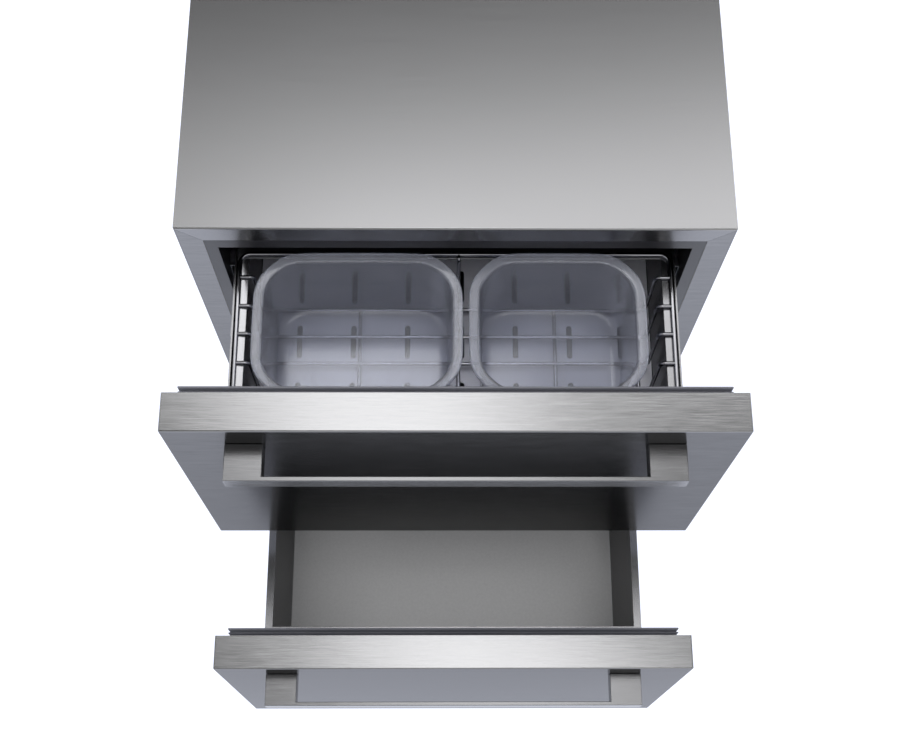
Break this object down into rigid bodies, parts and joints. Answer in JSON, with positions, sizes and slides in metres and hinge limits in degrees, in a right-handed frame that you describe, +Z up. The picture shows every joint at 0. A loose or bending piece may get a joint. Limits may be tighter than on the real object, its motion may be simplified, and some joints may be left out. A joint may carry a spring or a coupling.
{
  "type": "under counter fridge",
  "caption": "Counter-height steel fridge with insulated pull-out drawers shown open, bar handles, and a wire basket with plastic bins in the upper tub.",
  "frame": {"origin": "middle of the bounding box's footprint, on the floor, with both drawers out as stored", "axes": "+Z up, +Y from the drawer fronts towards the back, +X to the right seen from the front"},
  "size_m": [0.606, 0.9834, 0.87],
  "materials": {
    "stainless": "fine brushed",
    "stainless_dull": "satin",
    "galvanised": "zinc plated",
    "liner_dark": "satin dark",
    "foam": "rigid foam",
    "black_metal": "satin black",
    "fin_aluminium": "mill",
    "copper_line": "drawn tube",
    "black_plastic": "moulded",
    "gasket": "soft vinyl",
    "chrome_wire": "plated wire",
    "bin_plastic": "translucent",
    "foot_rubber": "moulded"
  },
  "bodies": {
    "cabinet": {"top_panel": "stainless", "left_side_panel": "stainless", "right_side_panel": "stainless", "rear_panel": "galvanised", "machine_rear_cover": "galvanised", "base_pan": "galvanised", "front_vent_grille": "stainless_dull", "insulation_top": "foam", "insulation_left": "foam", "insulation_right": "foam", "insulation_rear": "foam", "insulation_mullion": "foam", "insulation_floor": "foam", "upper_liner": "liner_dark", "lower_liner": "liner_dark", "centre_mullion": "stainless", "evaporator_cover": "stainless_dull", "evaporator_coil": "fin_aluminium", "evaporator_fan_motor": "black_metal", "compressor": "black_metal", "condenser_coil": "fin_aluminium", "condenser_fan_shroud": "black_metal", "drain_pan": "black_plastic", "control_box": "galvanised", "refrigerant_lines": "copper_line", "power_inlet": "black_plastic", "upper_slide_cabinet_left": "galvanised", "upper_slide_cabinet_right": "galvanised", "lower_slide_cabinet_left": "galvanised", "lower_slide_cabinet_right": "galvanised"},
    "upper_drawer": {"upper_front_skin": "stainless", "upper_front_insulation": "foam", "upper_door_liner": "stainless_dull", "upper_gasket": "gasket", "upper_handle": "stainless", "upper_drawer_tub": "stainless", "slotted_tray": "stainless_dull", "wire_basket": "chrome_wire", "bin_left": "bin_plastic", "bin_right": "bin_plastic", "upper_slide_drawer_left": "galvanised", "upper_slide_drawer_right": "galvanised"},
    "lower_drawer": {"lower_front_skin": "stainless", "lower_front_insulation": "foam", "lower_door_liner": "stainless_dull", "lower_gasket": "gasket", "lower_handle": "stainless", "lower_drawer_tub": "stainless", "lower_slide_drawer_left": "galvanised", "lower_slide_drawer_right": "galvanised"},
    "upper_slide_middles": {"upper_slide_middle_left": "galvanised", "upper_slide_middle_right": "galvanised"},
    "lower_slide_middles": {"lower_slide_middle_left": "galvanised", "lower_slide_middle_right": "galvanised"},
    "evaporator_fan": {"evaporator_fan": "black_plastic"},
    "condenser_fan": {"condenser_fan": "black_plastic"},
    "foot_front_left": {"foot_front_left": "foot_rubber"},
    "foot_front_right": {"foot_front_right": "foot_rubber"},
    "foot_rear_left": {"foot_rear_left": "foot_rubber"},
    "foot_rear_right": {"foot_rear_right": "foot_rubber"}
  },
  "joints": [
    {"name": "upper_drawer_slide", "type": "slide", "parent": "cabinet", "child": "upper_drawer", "axis": [0, -1, 0], "range_m": [-0.1721, 0.2]},
    {"name": "lower_drawer_slide", "type": "slide", "parent": "cabinet", "child": "lower_drawer", "axis": [0, -1, 0], "range_m": [-0.3486, 0.0234]},
    {"name": "upper_middle_slide", "type": "slide", "parent": "cabinet", "child": "upper_slide_middles", "axis": [0, -1, 0], "range_m": [-0.0861, 0.1001]},
    {"name": "lower_middle_slide", "type": "slide", "parent": "cabinet", "child": "lower_slide_middles", "axis": [0, -1, 0], "range_m": [-0.1744, 0.0118]},
    {"name": "evaporator_fan_spin", "type": "hinge", "parent": "cabinet", "child": "evaporator_fan", "pos_m": [0.175, 0.3997, 0.66], "axis": [0, 1, 0], "continuous": true},
    {"name": "condenser_fan_spin", "type": "hinge", "parent": "cabinet", "child": "condenser_fan", "pos_m": [0.145, 0.3477, 0.102], "axis": [0, 1, 0], "continuous": true},
    {"name": "foot_front_left_screw", "type": "hinge", "parent": "cabinet", "child": "foot_front_left", "pos_m": [-0.27, -0.0083, 0.03], "axis": [0, 0, 1], "continuous": true},
    {"name": "foot_front_right_screw", "type": "hinge", "parent": "cabinet", "child": "foot_front_right", "pos_m": [0.27, -0.0083, 0.03], "axis": [0, 0, 1], "continuous": true},
    {"name": "foot_rear_left_screw", "type": "hinge", "parent": "cabinet", "child": "foot_rear_left", "pos_m": [-0.27, 0.4517, 0.03], "axis": [0, 0, 1], "continuous": true},
    {"name": "foot_rear_right_screw", "type": "hinge", "parent": "cabinet", "child": "foot_rear_right", "pos_m": [0.27, 0.4517, 0.03], "axis": [0, 0, 1], "continuous": true}
  ],
  "couplings": [
    {"joint": "upper_middle_slide", "follows": "upper_drawer_slide", "ratio": 0.5},
    {"joint": "lower_middle_slide", "follows": "lower_drawer_slide", "ratio": 0.5}
  ]
}
